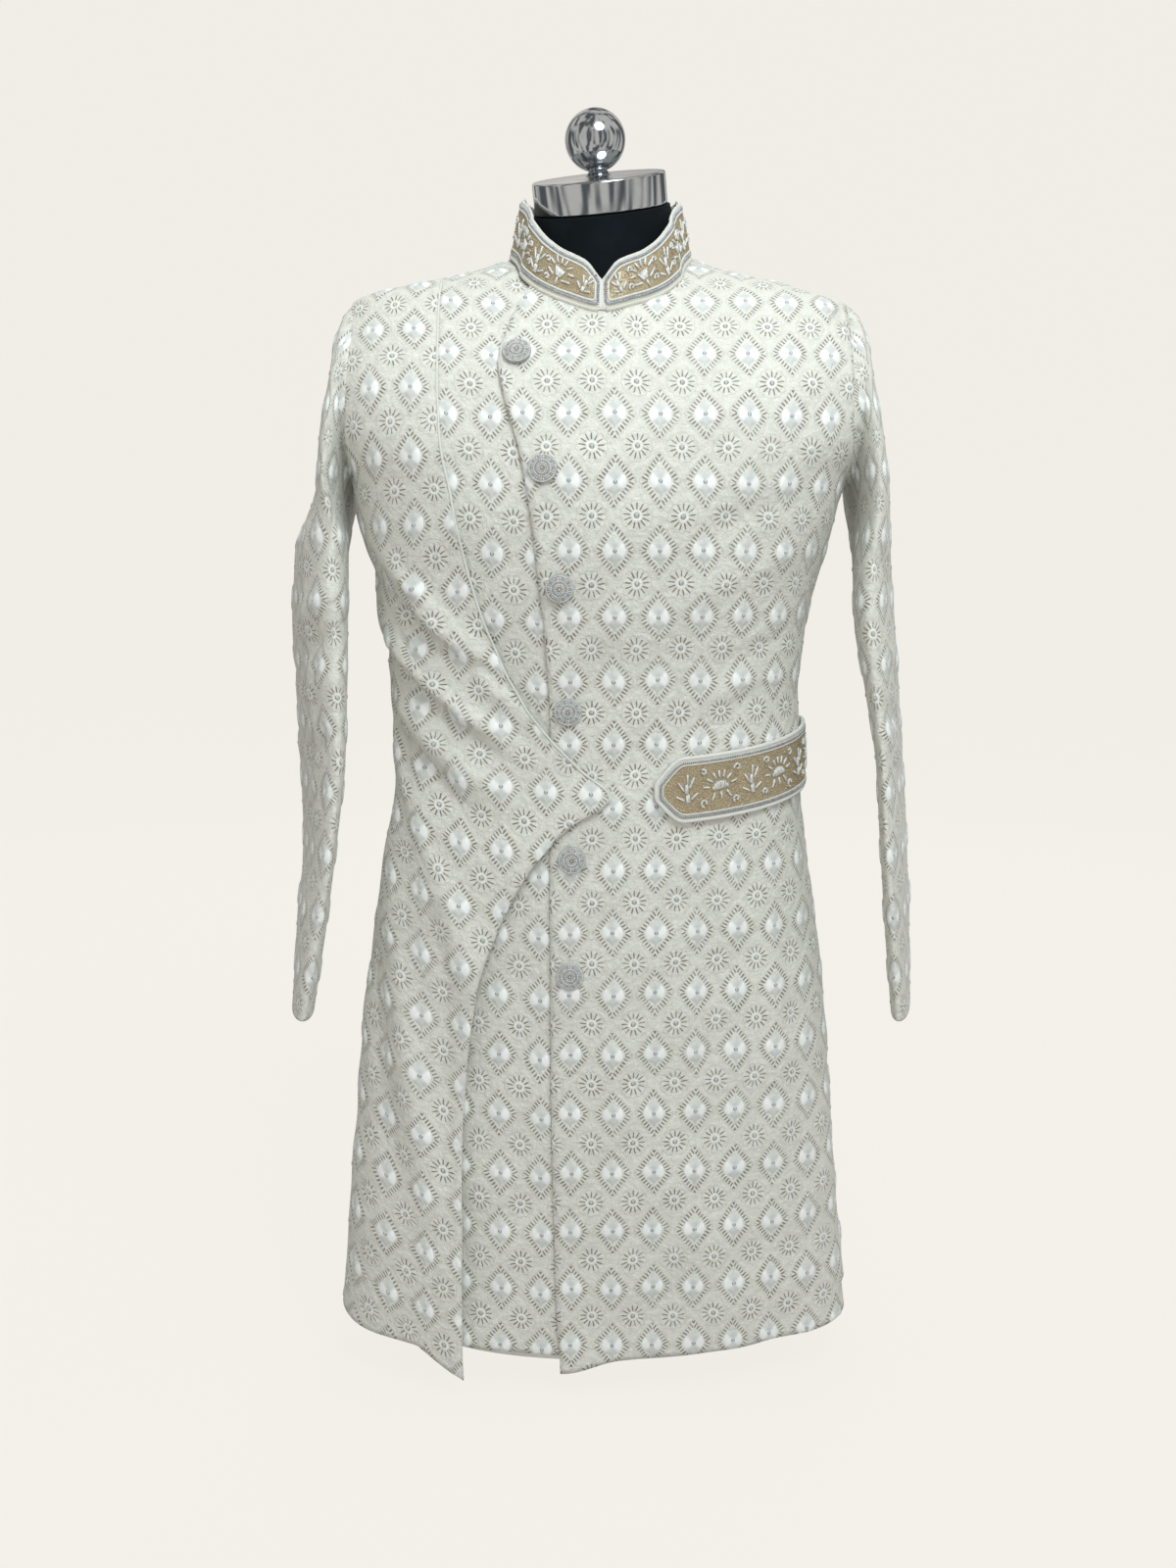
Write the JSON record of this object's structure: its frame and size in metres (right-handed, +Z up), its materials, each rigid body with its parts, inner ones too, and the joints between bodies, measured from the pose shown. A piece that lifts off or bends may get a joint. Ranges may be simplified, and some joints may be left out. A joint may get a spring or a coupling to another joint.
{
  "type": "sherwani coat on a limbless dress form",
  "caption": "Embroidered sherwani coat with a band collar, draped cutaway overlay, side belt and domed buttons, on a limbless dress form with a post and base.",
  "frame": {"origin": "underside of the stand's base plate, straight below the post", "axes": "+Z up, the coat's front faces -Y, +X is the wearer's left"},
  "size_m": [0.5985, 0.273, 1.1866],
  "materials": {
    "ivory_brocade": "matte ivory cloth with satin and thread embroidery",
    "beaded_band": "gold beadwork with white flowers, silver rows and white piping",
    "beaded_button": "silver-grey bead rings on a covered dome",
    "black_jersey": "black jersey stretched over the form",
    "chrome": "polished",
    "white_steel": "satin white"
  },
  "bodies": {
    "root": {"front_left_over": "ivory_brocade", "front_right_under": "ivory_brocade", "overlay_right": "ivory_brocade", "back_left": "ivory_brocade", "back_right": "ivory_brocade", "sleeve_left": "ivory_brocade", "sleeve_right": "ivory_brocade", "collar": "beaded_band", "belt": "beaded_band", "button_1": "beaded_button", "button_2": "beaded_button", "button_3": "beaded_button", "button_4": "beaded_button", "button_5": "beaded_button", "button_6": "beaded_button", "dress_form": "black_jersey", "neck_cap": "chrome", "finial_ball": "chrome", "post": "white_steel", "base": "white_steel"}
  },
  "joints": []
}
